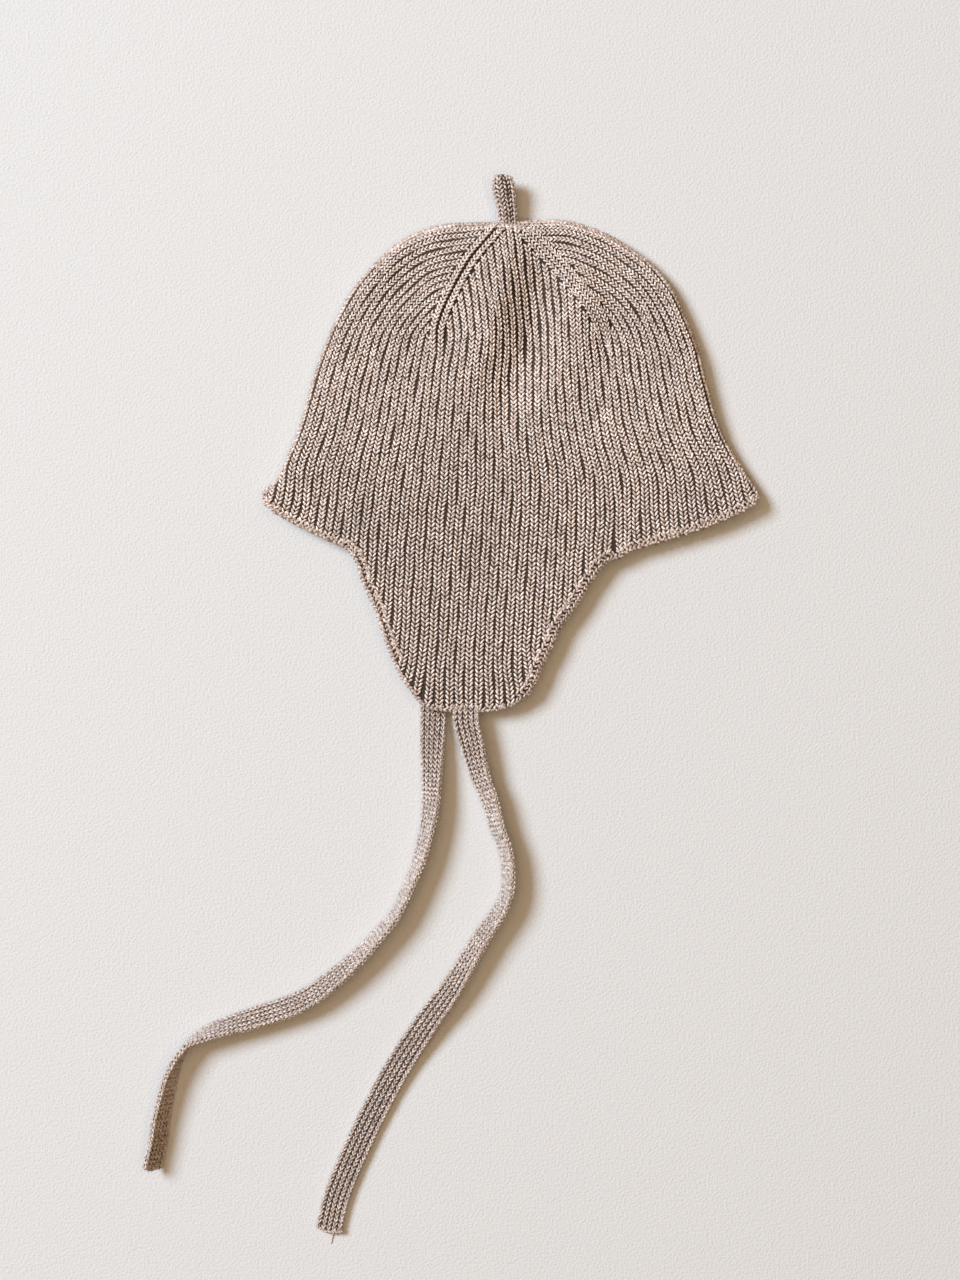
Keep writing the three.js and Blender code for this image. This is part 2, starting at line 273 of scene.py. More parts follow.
def mesh_object(name, points, quads, tris, material, uv=None):
    """A smooth mesh from points in millimetres, with texture coordinates if uv is given."""
    mesh = bpy.data.meshes.new(name)
    loops = np.concatenate([np.asarray(quads, np.int32).ravel(), np.asarray(tris, np.int32).ravel()])
    sizes = np.concatenate([np.full(len(quads), 4, np.int32), np.full(len(tris), 3, np.int32)])
    starts = np.concatenate([[0], np.cumsum(sizes)[:-1]]).astype(np.int32)
    mesh.vertices.add(len(points))
    mesh.vertices.foreach_set("co", (np.asarray(points, float) * MM).astype(np.float32).ravel())
    mesh.loops.add(len(loops))
    mesh.loops.foreach_set("vertex_index", loops)
    mesh.polygons.add(len(sizes))
    mesh.polygons.foreach_set("loop_start", starts)
    mesh.polygons.foreach_set("use_smooth", np.ones(len(sizes), bool))
    if uv is not None:
        layer = mesh.uv_layers.new(name="yarn")
        layer.uv.foreach_set("vector", np.asarray(uv, np.float32)[loops].ravel())
        plan = np.asarray(points, float)[:, :2]
        plan = (plan - plan.min(0)) / (plan.max(0) - plan.min(0))
        flat = mesh.uv_layers.new(name="OFBake")
        flat.uv.foreach_set("vector", plan.astype(np.float32)[loops].ravel())
    mesh.update(calc_edges=True)
    mesh.validate()
    mesh.materials.append(material)
    obj = bpy.data.objects.new(name, mesh)
    bpy.context.scene.collection.objects.link(obj)
    return obj


RINGS = (-0.93, -0.45, 0.45, 0.93)  # places of a strand's rings along its half length
FEW_RINGS = (-0.78, 0.0, 0.78)  # the same for strands on the side that lies down
RESTING = 0.02  # the yarn is pressed flat this far above the surface that it lies on
LEG = 0.70  # half length of a stitch's leg, in courses
LEG_THICK = 0.265  # half thickness of a leg, in courses
TAPER = 0.4  # how much a strand thins to its ends; at 0 it would keep its thickness
SAG = 0.36  # how deep the ends of a strand sink
LEG_TILT = 0.22  # how much deeper the lower end of a leg sinks
THICK_WIDTH = 2.7  # width of a stitch whose legs have just that thickness
THICK_RANGE = (0.72, 1.06)  # thinnest and thickest, against that
LEG_ANGLE = 28  # degrees between a leg and its column
ANGLE_WIDTH = 2.4  # in a stitch of this width
ANGLE_GROWTH = 8  # degrees more for each millimetre of width
ANGLE_RANGE = (20, 36)
TURN_JITTER = 0.06  # unevenness of a leg's direction, in radians
PLACE_JITTER = 0.05  # of its place
THICK_JITTER = 0.06  # of its thickness, as a share
LENGTH_JITTER = 0.05  # of its length and depth, as a share


def strand_template(sides, rings):
    """A short spindle of yarn: rows of (along, across, up), its faces and its texture coordinates."""
    points = [(-1.0, 0.0, 0.0)]
    coords = [(0.5, 0.0)]
    for t in rings:
        swell = (1 - t * t) ** TAPER
        for i in range(sides):
            a = 2 * math.pi * i / sides + math.pi / 2
            points.append((t, math.cos(a) * swell, math.sin(a) * swell))
            coords.append((i / sides, (t + 1) / 2))
    points.append((1.0, 0.0, 0.0))
    coords.append((0.5, 1.0))
    last = len(points) - 1
    quads = []
    tris = []
    for i in range(sides):
        n = (i + 1) % sides
        tris.append((0, 1 + n, 1 + i))
        tris.append((last, last - sides + i, last - sides + n))
        for r in range(len(rings) - 1):
            low = 1 + r * sides
            high = low + sides
            quads.append((low + i, low + n, high + n, high + i))
    return np.array(points), np.array(quads), np.array(tris), np.array(coords)


def unit(v):
    """Rows of v scaled to length one."""
    return v / np.maximum(np.linalg.norm(v, axis=1, keepdims=True), 1e-9)


class Yarn:
    """Short strands of yarn gathered for one mesh."""

    def __init__(self):
        self.rows = []

    def strands(self, place, way, normal, half_length, across, up, tilt=0.0):
        """Strands at place, lying along way, with their top towards normal; tilt sinks their lower end."""
        cols = [place, way, normal]
        for value in (half_length, across, up, tilt):
            cols.append(np.broadcast_to(np.asarray(value, float), (len(place),))[:, None])
        self.rows.append(np.hstack(cols))

    def stitches(self, place, way, normal, width, course, lift=0.0):
        """V stitches whose points look back along way."""
        n = len(place)
        right = unit(np.cross(way, normal))
        way = np.cross(normal, right)
        width = np.broadcast_to(np.asarray(width, float), (n,))[:, None]
        lift = np.broadcast_to(np.asarray(lift, float), (n,))[:, None]
        half_length = LEG * course
        thick = LEG_THICK * course * np.clip(width / THICK_WIDTH, *THICK_RANGE)
        angle = np.radians(np.clip(LEG_ANGLE + ANGLE_GROWTH * (width - ANGLE_WIDTH), *ANGLE_RANGE))
        reach = width / 2 - np.hypot(half_length * np.sin(angle), thick * np.cos(angle))
        for side in (-1, 1):
            turn = angle + rng.normal(0, TURN_JITTER, (n, 1))
            leg_way = way * np.cos(turn) + right * np.sin(turn) * side
            leg_lift = lift + rng.normal(0, PLACE_JITTER, (n, 1))
            leg_place = place + right * side * reach + normal * leg_lift
            leg_place = leg_place + way * rng.normal(0, PLACE_JITTER, (n, 1))
            across = (thick * rng.normal(1, THICK_JITTER, (n, 1)))[:, 0]
            size = rng.normal(1, LENGTH_JITTER, n)
            self.strands(leg_place, leg_way, normal, half_length * size, across, YARN * size, LEG_TILT)

    def build(self, name, material, sides=5, rings=RINGS):
        """One mesh of all the gathered strands."""
        data = np.vstack(self.rows)
        place, way, normal = data[:, 0:3], unit(data[:, 3:6]), data[:, 6:9]
        half_length, across, up, tilt = (data[:, i, None] for i in range(9, 13))
        right = unit(np.cross(way, normal))
        normal = np.cross(right, way)
        points, quads, tris, coords = strand_template(sides, rings)
        t, c, h = (points[None, :, i] for i in range(3))
        sag = -SAG * t**2 + tilt * np.minimum(t, 0)
        world = (place[:, None] + (t * half_length)[..., None] * way[:, None]
                 + (c * across)[..., None] * right[:, None] + (h * up + sag)[..., None] * normal[:, None])
        world[..., 2] = np.maximum(world[..., 2], RESTING)
        offset = np.arange(len(data))[:, None, None] * len(points)
        uv = coords[None] + rng.uniform(0, 1, (len(data), 1, 2))
        return mesh_object(name, world.reshape(-1, 3), (quads[None] + offset).reshape(-1, 4),
                           (tris[None] + offset).reshape(-1, 3), material, uv.reshape(-1, 2))


# -------- ribs, seen from above
RIBS = 52  # ribs across the front above the brim
LEFT_BRIM = (-2.0, 8.4)  # rib numbers at the left brim's corner and at the flap
RIGHT_BRIM = (53.0, 37.0)  # the same on the right
FLAP_X = (-69.8, 42.6)  # x of the first and the last rib where the flap begins
ROW_TOP = 44.9  # above this line the side ribs follow the outline
ROW_BOTTOM = -6.5  # below it they fan out to the brim
FLAP_ROW = -44.5  # y where the ribs enter the flap
FLAP_END = -112.5  # y of the flap's end
FLAP_LEAN = 0.06  # how the flap's ribs lean to the left as they run down
LEAN_REACH = 52  # length over which they do
FLAP_CENTRE = -22  # x about which the flap's ribs spread
FLAP_HALF = 28  # distance from there to its outermost ribs
FLAP_SPREAD = (-8.5, 4.0)  # how far the outermost ribs run out on the left and on the right
SPREAD_ROWS = (40, 70)  # distances below FLAP_ROW between which they do
BRIM_SPACING = 4.2  # spacing of the ribs at the brim's edge
FLAP_SPACING = 3.85  # and in the flap
FLAP_CORNER = -91.0  # below this the left ribs of the flap run out to its edge
BRIM_LEAN = (math.radians(50), math.radians(28))  # most that the ribs lean out at the left and right corner
FAN_POWER = 0.7  # how slowly that lean fades along the brim
JOIN_PULL = 37  # how firmly a rib keeps its direction from the flap into the upper rows
UPPER_STEPS = 24
FLAP_STEPS = 40
EDGE_PULL = 0.33  # how far the fold draws the outermost rib to itself, in ribs
EDGE_FADE = 5.0  # ribs over which that pull fades
SIDE_CLEARANCE = (2.7, 2.8)  # how near a side rib comes to the left and to the right decrease line
WEDGE_CLEARANCE = (2.7, 2.9)  # the same for a middle rib
SIDE_STEPS = 90
SIDE_PULL = 0.6  # how firmly a side rib keeps its distance from the outline
WEDGE_TOP = 91  # highest y of a middle rib
WEDGE_STEPS = 30
WEDGE_LENGTH = 46  # about the length from ROW_TOP to there
WEDGE_CENTRE = 4.0  # x of the wedge's centre at ROW_TOP
WEDGE_DRIFT = 5.5  # how far its centre moves to the left over its length
WEDGE_WIDENING = 0.10  # how much it widens over its length, as a share
WEDGE_OPEN_Y = 50  # above this a middle rib has to lie between both lines
CHAIN_FOOT_Y = 38  # the ribs that run on into the chains stop here
CHAIN_SKIP = 6  # curve points of a decrease line that its chains leave out
SWAY = ((0.16, 3.1), (0.14, 7.7))  # sideways wandering of a rib: size and length of each wave
SPACING_SWAY = ((0.03, 4.3), (0.03, 11))  # the same for its spacing, as shares

left_brim = mouth[:FLAP_LEFT * SPAN + 1]
right_brim = mouth[FLAP_RIGHT * SPAN:][::-1]
flap_left = mouth[FLAP_LEFT * SPAN: FLAP_LEFT_FOOT * SPAN + 1]
flap_right = mouth[FLAP_RIGHT_FOOT * SPAN: FLAP_RIGHT * SPAN + 1]
flap_foot = mouth[FLAP_LEFT_FOOT * SPAN: FLAP_RIGHT_FOOT * SPAN + 1]


def row_place(rib, y):
    """x and spacing of a rib on the line at height y, above the brim."""
    xl = np.interp(y, left_fold[:, 1], left_fold[:, 0])
    xr = np.interp(y, right_fold[:, 1], right_fold[:, 0])
    pitch = (xr - xl) / RIBS
    drawn = EDGE_PULL * (math.exp((rib - RIBS) / EDGE_FADE) - math.exp(-rib / EDGE_FADE))
    return xl + (rib + drawn) * pitch, pitch


def hermite(p0, d0, p1, d1, count=SPAN):
    """Points of a smooth curve from p0 to p1 that starts along d0 and ends along d1."""
    t = np.linspace(0, 1, count)[:, None]
    return ((2 * t**3 - 3 * t**2 + 1) * p0 + (t**3 - 2 * t**2 + t) * d0
            + (3 * t**2 - 2 * t**3) * p1 + (t**3 - t**2) * d1)


def lower_rib(rib):
    """A rib from its lower end up to ROW_TOP, as rows of x, y, spacing."""
    y = np.linspace(ROW_BOTTOM, ROW_TOP, UPPER_STEPS)
    x, pitch = row_place(rib, y)
    upper = np.column_stack([x, y, pitch])
    slope = (x[1] - x[0]) / (y[1] - y[0])
    for (outer, inner), brim, sign, most in (
            (LEFT_BRIM, left_brim, -1, BRIM_LEAN[0]), (RIGHT_BRIM, right_brim, 1, BRIM_LEAN[1])):
        t = (rib - outer) / (inner - outer)
        if t < 1:
            end = along(brim, np.array([t * lengths(brim)[-1]]))[0]
            lean = most * (1 - t) ** FAN_POWER
            reach = np.hypot(*(upper[0, :2] - end))
            up = np.array([-sign * math.sin(lean), math.cos(lean)]) * reach
            fan = hermite(end, up, upper[0, :2], unit(np.array([[slope, 1.0]]))[0] * reach)
            spacing = np.linspace(BRIM_SPACING, upper[0, 2], len(fan))
            return np.vstack([np.column_stack([fan, spacing])[:-1], upper])
    xs = np.interp(rib, [LEFT_BRIM[1], RIGHT_BRIM[1]], FLAP_X)
    y = np.linspace(FLAP_END, FLAP_ROW, FLAP_STEPS)
    below = FLAP_ROW - y
    outward = (xs - FLAP_LEAN * LEAN_REACH - FLAP_CENTRE) / FLAP_HALF
    spread = FLAP_SPREAD[0 if outward < 0 else 1] * abs(outward) ** 2 * smoothstep(below, *SPREAD_ROWS)
    x = xs - FLAP_LEAN * np.minimum(below, LEAN_REACH) + spread
    flap = np.column_stack([x, y, np.full(len(y), FLAP_SPACING)])
    start = np.array([FLAP_LEAN, 1]) * JOIN_PULL
    end = np.array([slope, 1]) * JOIN_PULL
    mid = hermite(np.array([xs, FLAP_ROW]), start, upper[0, :2], end)
    spacing = np.linspace(FLAP_SPACING, upper[0, 2], len(mid))
    return np.vstack([flap[:-1], np.column_stack([mid, spacing])[:-1], upper])


smooth_outline = blur(fold_line, 20)


def side_rib_top(start, right):
    """The upper part of a side rib: it keeps its distance from the outline as far as the decrease line."""
    stop = right_decrease if right else left_decrease
    p = start[:2].copy()
    goal = nearest(smooth_outline, p[None])[0, GAP]
    out = []
    for _ in range(SIDE_STEPS):
        near = nearest(smooth_outline, p[None])[0]
        inward = -near[LEFT_NORMAL]
        way = np.array([-inward[1], inward[0]]) * (-1 if right else 1)
        p = p + way * COURSE + inward * (goal - near[GAP]) * SIDE_PULL
        if nearest(stop, p[None])[0, GAP] < SIDE_CLEARANCE[int(right)] or (p[0] > 0) != right:
            break
        out.append([p[0], p[1], start[2]])
    return np.array(out).reshape(-1, 3)


def wedge_rib(rib):
    """The part of a middle rib between the two decrease lines."""
    x0, pitch = row_place(rib, ROW_TOP)
    y = np.linspace(ROW_TOP, WEDGE_TOP, WEDGE_STEPS)
    rise = (y - ROW_TOP) / WEDGE_LENGTH
    centre = WEDGE_CENTRE - WEDGE_DRIFT * rise**1.3
    x = centre + (x0 - WEDGE_CENTRE) * (1 + WEDGE_WIDENING * rise)
    p = np.column_stack([x, y, np.full(len(y), pitch)])
    left = nearest(left_decrease, p[:, :2])
    right = nearest(right_decrease, p[:, :2])
    clear = (left[:, GAP] > WEDGE_CLEARANCE[0]) & (right[:, GAP] > WEDGE_CLEARANCE[1])
    keep = clear & ((y < WEDGE_OPEN_Y) | ((left[:, SIDE] < 0) & (right[:, SIDE] > 0)))
    stop = len(keep) if keep.all() else np.argmin(keep)
    return p[1:stop]


def offset(line, amount):
    """A line moved to its left."""
    d = directions(line[:, :2])
    return line[:, :2] + np.column_stack([-d[:, 1], d[:, 0]]) * amount


def wander(rows):
    """The small sideways wandering of a hand-finished rib."""
    d = directions(rows[:, :2])
    s = lengths(rows)
    phases = rng.uniform(0, 2 * math.pi, 4)
    sway = sum(size * np.sin(s / wave + phase) for (size, wave), phase in zip(SWAY, phases[:2]))
    out = rows.copy()
    out[:, :2] += np.column_stack([-d[:, 1], d[:, 0]]) * sway[:, None]
    waves = [size * np.sin(s / wave + phase) for (size, wave), phase in zip(SPACING_SWAY, phases[2:])]
    out[:, 2] *= sum(waves, 1)
    return out


def inside(xy):
    """Distance in from the fold line, negative outside it."""
    near = nearest(fold_line, xy)
    return np.where(near[:, SIDE] < 0, near[:, GAP], -near[:, GAP])


ribs = {}
for k in range(-2, 53):
    parts = [lower_rib(k + 0.5)]
    if k < 0 or k >= RIBS:
        ribs[k] = parts[0]  # the fold cuts these off
        continue
    if k in LEFT_CHAINS or k in RIGHT_CHAINS:
        parts[0] = parts[0][parts[0][:, 1] < CHAIN_FOOT_Y]
    elif k < LEFT_CHAINS[0]:
        parts.append(side_rib_top(parts[0][-1], False))
    elif k > RIGHT_CHAINS[1]:
        parts.append(side_rib_top(parts[0][-1], True))
    else:
        parts.append(wedge_rib(k + 0.5))
    ribs[k] = np.vstack([p for p in parts if len(p)])

# the chains along the decrease lines, each run on from one of the two ribs below its line
chains = []
for line, feet, gaps in zip((left_decrease, right_decrease), (LEFT_CHAINS, RIGHT_CHAINS), CHAIN_GAPS):
    for i, gap in enumerate(gaps):
        foot = ribs[feet[min(i, 1)]][-1, :2]
        run = offset(line, gap)
        chains.append(np.vstack([foot[None], run[CHAIN_SKIP:]]))
chains.append(catmull(moved(CROWN_CHAIN)))


# -------- materials
FLECK_RANGE = (0.38, 0.62)  # noise values that give the dark and the light fibre
CORE_BUMP = 0.3


def nodes_of(material):
    """A material's node tree and its main shader."""
    material.use_nodes = True
    tree = material.node_tree
    return tree, tree.nodes["Principled BSDF"]


def add_node(tree, kind, **inputs):
    """A shader node with the given input values; an underscore in a name stands for a space."""
    node = tree.nodes.new("ShaderNode" + kind)
    for name, value in inputs.items():
        node.inputs[name.replace("_", " ")].default_value = value
    return node


def wool(name, dark, light, bump=0.5):
    """Mottled wool yarn: fine flecks of lighter and darker fibre, a slow drift of tone, twisted plies."""
    material = bpy.data.materials.new(name)
    tree, shader = nodes_of(material)
    link = tree.links.new
    where = add_node(tree, "TexCoord")

    fleck = add_node(tree, "TexNoise", Scale=1000, Detail=5, Roughness=0.62)
    link(where.outputs["Object"], fleck.inputs["Vector"])
    ramp = add_node(tree, "ValToRGB")
    for element, position, colour in zip(ramp.color_ramp.elements, FLECK_RANGE, (dark, light)):
        element.position = position
        element.color = (*colour, 1)
    link(fleck.outputs["Fac"], ramp.inputs["Fac"])

    drift = add_node(tree, "TexNoise", Scale=45, Detail=3)
    link(where.outputs["Object"], drift.inputs["Vector"])
    tone = add_node(tree, "MapRange", From_Min=0.3, From_Max=0.7, To_Min=0.90, To_Max=1.08)
    link(drift.outputs["Fac"], tone.inputs["Value"])
    mix = add_node(tree, "Mix")
    mix.data_type = "RGBA"
    mix.blend_type = "MULTIPLY"
    mix.inputs["Factor"].default_value = 1
    link(ramp.outputs["Color"], mix.inputs["A"])
    link(tone.outputs["Result"], mix.inputs["B"])
    link(mix.outputs["Result"], shader.inputs["Base Color"])

    uv = add_node(tree, "UVMap")
    uv.uv_map = "yarn"
    ply = add_node(tree, "TexWave", Scale=1.6, Distortion=1.2, Detail=2)
    ply.wave_type = "BANDS"
    ply.bands_direction = "DIAGONAL"
    link(uv.outputs["UV"], ply.inputs["Vector"])
    fibre = add_node(tree, "TexNoise", Scale=2600, Detail=3)
    link(where.outputs["Object"], fibre.inputs["Vector"])
    add = add_node(tree, "Math")
    add.operation = "MULTIPLY_ADD"
    add.inputs[1].default_value = 0.9
    link(ply.outputs["Fac"], add.inputs[0])
    link(fibre.outputs["Fac"], add.inputs[2])
    height = add_node(tree, "Bump", Strength=bump, Distance=0.00025)
    link(add.outputs["Value"], height.inputs["Height"])
    link(height.outputs["Normal"], shader.inputs["Normal"])

    rough = add_node(tree, "MapRange", To_Min=0.72, To_Max=0.95)
    link(fleck.outputs["Fac"], rough.inputs["Value"])
    link(rough.outputs["Result"], shader.inputs["Roughness"])
    shader.inputs["Specular IOR Level"].default_value = 0.35
    shader.inputs["Sheen Weight"].default_value = 0.25
    shader.inputs["Sheen Roughness"].default_value = 0.5
    return material


yarn = wool("wool_rib", (0.40, 0.295, 0.250), (1.0, 0.895, 0.850))
# a dimmed copy of the rib wool: painted shade on the rows round the fold, along the open edges and on the
# purl bumps
edge_shade_wool = wool("wool_edge_painted_shade", (0.26, 0.178, 0.145), (0.80, 0.665, 0.605))
# a dimmed copy of the rib wool for the ties and the stem: painted shade
tie_shade_wool = wool("wool_tie_painted_shade", (0.28, 0.198, 0.163), (0.82, 0.720, 0.672))
# near-black wool, much darker than the yarn itself: painted shade for the gaps between stitches, inside the
# body, the ties and the stem
groove_shade_wool = wool("wool_painted_groove_shade", (0.020, 0.010, 0.006), (0.058, 0.033, 0.021), CORE_BUMP)

# -------- bonnet body
RIB_JITTER = 0.05  # unevenness of the stitches along a rib, in courses
FULLNESS = 0.905  # width of a stitch against the ribs' spacing
SPACING_RANGE = (2.4, 4.2)  # least and most spacing that a stitch fills
BRIM_TIGHTNESS = 0.05  # how much narrower the stitches get near the left brim
BRIM_ZONE = (-26, -8)  # where they do, as distances from the brim's edge
FOLD_CLEARANCE = 0.5  # the ribs stop this far inside the fold line
EDGE_CLEARANCE = 1.3  # and this far from the open edge
FLAP_CLEARANCE = 3.4  # and this far from the flap's sides
CORNER_CLEARANCE = 1.6  # or this far at the flap's left corner
CORNER_X = -20  # which lies to the left of this
FLAP_SIDES_Y = -46  # below this the flap's sides bound the ribs
FLAP_PIECE_Y = -36  # below this the front's stitches belong to the flap's piece
FEWEST_STITCHES = 3
BACK_SIDES = 4  # sides of a strand that lies on the back or in a tie

# rows of stitches round the fold: distance in from the fold line, whether on the front
FOLD_ROWS = [(0, True), (0.75, True), (0.75, False), (2.0, False)]
FOLD_WIDTH = 2.2
CROWN_EDGE_INSET = 1.9
CROWN_EDGE_DEPTH = 0.35  # how much deeper than a rib the row beside the crown's fold lies
CROWN_EDGE_WIDTH = 2.4
LEFT_CHAIN = (0.9, 2.7)  # how far the chains of the left decrease line stand up, and their width
RIGHT_CHAIN = (0.6, 2.3)
CHAIN_START = (2, 10)  # a chain rises between these distances from its foot

# rows of loops along an edge: distance in, depth, pitch, half length, half thickness, slant in radians
FLAP_EDGE_ROWS = [(0.5, 1.1, 1.75, 0.95, 0.62, 1.0), (1.2, 0.5, 1.75, 1.05, 0.50, -0.6)]
FLAP_BAND_ROWS = [(2.6, 0.9, 2.0, 1.25, 0.50, 0.9), (3.9, 0.5, 2.0, 1.45, 0.60, -0.55)]
BRIM_ROWS = [(0.6, 1.0, 1.9, 1.05, 0.62, 0.5), (1.5, 0.7, 2.0, 1.15, 0.58, -0.9)]
BRIM_INNER_ROW = (1.6, 0.9, 2.0, 1.15, 0.62, 1.2)
# the lower edges: line, side of it where the knit lies, rib numbers at its ends, how far the rows move out
LOWER_EDGES = [
    (flap_foot, 1, None, 0),
    (left_brim, 1, LEFT_BRIM, 0.5),
    (right_brim, -1, RIGHT_BRIM, 1.2),
]
SCALLOP = 1.1  # how far the edge draws in between two ribs
LOOP_JITTER = 0.12  # unevenness of the loops along an edge, in pitches
SLANT_JITTER = 0.16
SIZE_JITTER = 0.10

PURL_RIBS = range(38, 53)  # gaps between ribs in which purl bumps show
PURL_COUNT = 9
PURL_DEPTH = 1.5
PURL_SIZE = (0.6, 0.4, 0.5)
PURL_FOLD_CLEARANCE = 2
PURL_EDGE_CLEARANCE = 1.6

front_left, front_mid, front_right, flap_knit = Yarn(), Yarn(), Yarn(), Yarn()
back_left, back_right, edges = Yarn(), Yarn(), Yarn()


def on_face(xy, front=True, depth=YARN):
    """Place, direction and outward normal of a row of yarn that lies depth under the face."""
    place, normal = knit_face(xy, front)
    return place - normal * depth, directions(place), normal


def spacing_of(k, xy):
    """Distance to the nearer of the two neighbouring ribs."""
    gaps = [nearest(ribs[n], xy)[:, GAP] for n in (k - 1, k + 1) if n in ribs]
    return np.clip(np.min(gaps, axis=0), *SPACING_RANGE)


def within_edges(xy):
    """Which plan points lie far enough inside the fold, the open edge and the flap's sides."""
    left = nearest(flap_left, xy)
    right = nearest(flap_right, xy)
    corner = (xy[:, 1] < FLAP_CORNER) & (xy[:, 0] < CORNER_X)
    clear = np.minimum(left[:, GAP], right[:, GAP]) > np.where(corner, CORNER_CLEARANCE, FLAP_CLEARANCE)
    beside_flap = (xy[:, 1] < FLAP_SIDES_Y) & ~((left[:, SIDE] > 0) & (right[:, SIDE] > 0) & clear)
    return (inside(xy) > FOLD_CLEARANCE) & ~beside_flap & (nearest(mouth, xy)[:, GAP] > EDGE_CLEARANCE)


def lay_rib(k, rib):
    """The stitches of one rib, on the front and on the back."""
    rows = wander(resample(rib, COURSE, RIB_JITTER))
    rows = rows[within_edges(rows[:, :2])]
    if len(rows) < FEWEST_STITCHES:
        return
    width = np.minimum(V_WIDTH, FULLNESS * spacing_of(k, rows[:, :2]))
    brim = smoothstep(-nearest(left_brim, rows[:, :2])[:, GAP], *BRIM_ZONE)
    width = width * (1 - BRIM_TIGHTNESS * brim)

    place, way, normal = on_face(rows[:, :2])
    deep = rows[:, 1] < FLAP_PIECE_Y
    group = front_left if k <= LEFT_CHAINS[1] else front_mid if k < RIGHT_CHAINS[0] else front_right
    for where, target in ((~deep, group), (deep, flap_knit)):
        target.stitches(place[where], way[where], normal[where], width[where], COURSE)

    place, way, normal = on_face(rows[:, :2], False)
    (back_left if k < RIBS // 2 else back_right).stitches(place, way, normal, width, COURSE)


def lay_fold():
    """The rows that turn round the fold, and the one beside it on the crown."""
    for inset, front in FOLD_ROWS:
        place, way, normal = on_face(resample(offset(fold_line, -inset), COURSE), front)
        edges.stitches(place, way, normal, FOLD_WIDTH, COURSE)
    crown_edge = resample(offset(top_fold, -CROWN_EDGE_INSET), COURSE)
    place, way, normal = on_face(crown_edge, True, YARN + CROWN_EDGE_DEPTH)
    edges.stitches(place, way, normal, CROWN_EDGE_WIDTH, COURSE)


def lay_chain(chain, left):
    """One chain on the front, where it stands up, and on the back, where the surface presses it flat."""
    rows = resample(chain, COURSE)
    rise, width = LEFT_CHAIN if left else RIGHT_CHAIN
    lift = rise * smoothstep(lengths(rows), *CHAIN_START)
    for front in (True, False):
        group = (front_left if left else front_right) if front else back_left
        place, way, normal = on_face(rows, front)
        group.stitches(place, way, normal, width, COURSE, lift * front)


def edge_row(line, turn, front, row, low=-math.inf, span=None, out=0):
    """A row of slanting loops beside an open edge; turn is 1 where the knit lies left of the line.

    low cuts the row off below that y, and span gives the rib numbers at the ends of a scalloped line.
    """
    inset, depth, pitch, half_length, thick, angle = row
    inset = inset - out
    if span:
        number = np.interp(lengths(line), [0, lengths(line)[-1]], span)
        inset = (inset + SCALLOP * (1 - np.abs(np.sin(np.pi * number))))[:, None]
    rows = resample(offset(line, turn * inset), pitch, LOOP_JITTER)
    rows = rows[rows[:, 1] > low]
    place, way, normal = on_face(rows, front, depth)
    right = unit(np.cross(way, normal))
    n = len(rows)
    slant = angle + rng.normal(0, SLANT_JITTER, n)[:, None]
    edges.strands(place, way * np.cos(slant) + right * np.sin(slant), normal,
                  half_length * rng.normal(1, SIZE_JITTER, n), thick * rng.normal(1, SIZE_JITTER, n),
                  YARN * rng.normal(1, SIZE_JITTER, n))


def lay_edges(front):
    """The rows of loops along the flap's sides and the lower edges."""
    for line, low in ((flap_left, FLAP_CORNER), (flap_right, -math.inf)):
        for row in FLAP_EDGE_ROWS:
            edge_row(line, 1, front, row)
        for row in FLAP_BAND_ROWS:
            edge_row(line, 1, front, row, low)
    for line, turn, span, out in LOWER_EDGES:
        for row in BRIM_ROWS:
            edge_row(line, turn, front, row, span=span, out=out)
        if span:
            edge_row(line, turn, front, BRIM_INNER_ROW, span=span)


def lay_purls(k):
    """Purl bumps between two ribs, where they fan out at the brim."""
    rows = resample(lower_rib(float(k)), COURSE)
    clear = nearest(mouth, rows[:, :2])[:, GAP] > PURL_EDGE_CLEARANCE
    rows = rows[(inside(rows[:, :2]) > PURL_FOLD_CLEARANCE) & clear][:PURL_COUNT]
    if len(rows) >= FEWEST_STITCHES:
        place, way, normal = on_face(rows[:, :2], True, PURL_DEPTH)
        edges.strands(place, unit(np.cross(way, normal)), normal, *PURL_SIZE)


for k, rib in ribs.items():
    lay_rib(k, rib)
lay_fold()
for number, chain in enumerate(chains):
    lay_chain(chain, number < len(LEFT_CHAINS))
for front in (True, False):
    lay_edges(front)
for k in PURL_RIBS:
    lay_purls(k)

body_parts = [
    front_left.build("front_left_ribs", yarn),
    front_mid.build("front_middle_ribs", yarn),
    front_right.build("front_right_ribs", yarn),
    flap_knit.build("front_flap_ribs", yarn),
    back_left.build("back_left_ribs", yarn, BACK_SIDES, FEW_RINGS),
    back_right.build("back_right_ribs", yarn, BACK_SIDES, FEW_RINGS),
    # the edge loops take the dimmed wool, painted shade
    edges.build("edge_loops", edge_shade_wool),
]


# -------- core under the stitches, near black: painted shade that shows in the gaps between stitches
CORE_COLUMNS = 84
CORE_ROWS = 64
CORE_DEPTH = 1.15  # how deep the core's outer face lies under the knit's
CORE_INSET = 1.3  # how far its open edge stays inside the knit's
CORNER_REACH = 5  # the inset fades out over this distance from the corners


def at_share(line, share):
    """Points at the given shares of a line's length."""
    return along(line, share * lengths(line)[-1])


def coons(u, v, sides):
    """Points inside four boundary curves: left, right, bottom (mouth), top."""
    left, right, bottom, top = sides
    a, b, c, d = left[0], right[0], top[0], top[-1]
    return ((1 - v)[:, None] * at_share(bottom, u) + v[:, None] * at_share(top, u)
            + (1 - u)[:, None] * at_share(left, v) + u[:, None] * at_share(right, v)
            - ((1 - u) * (1 - v))[:, None] * a - (u * (1 - v))[:, None] * b
            - ((1 - u) * v)[:, None] * c - (u * v)[:, None] * d)


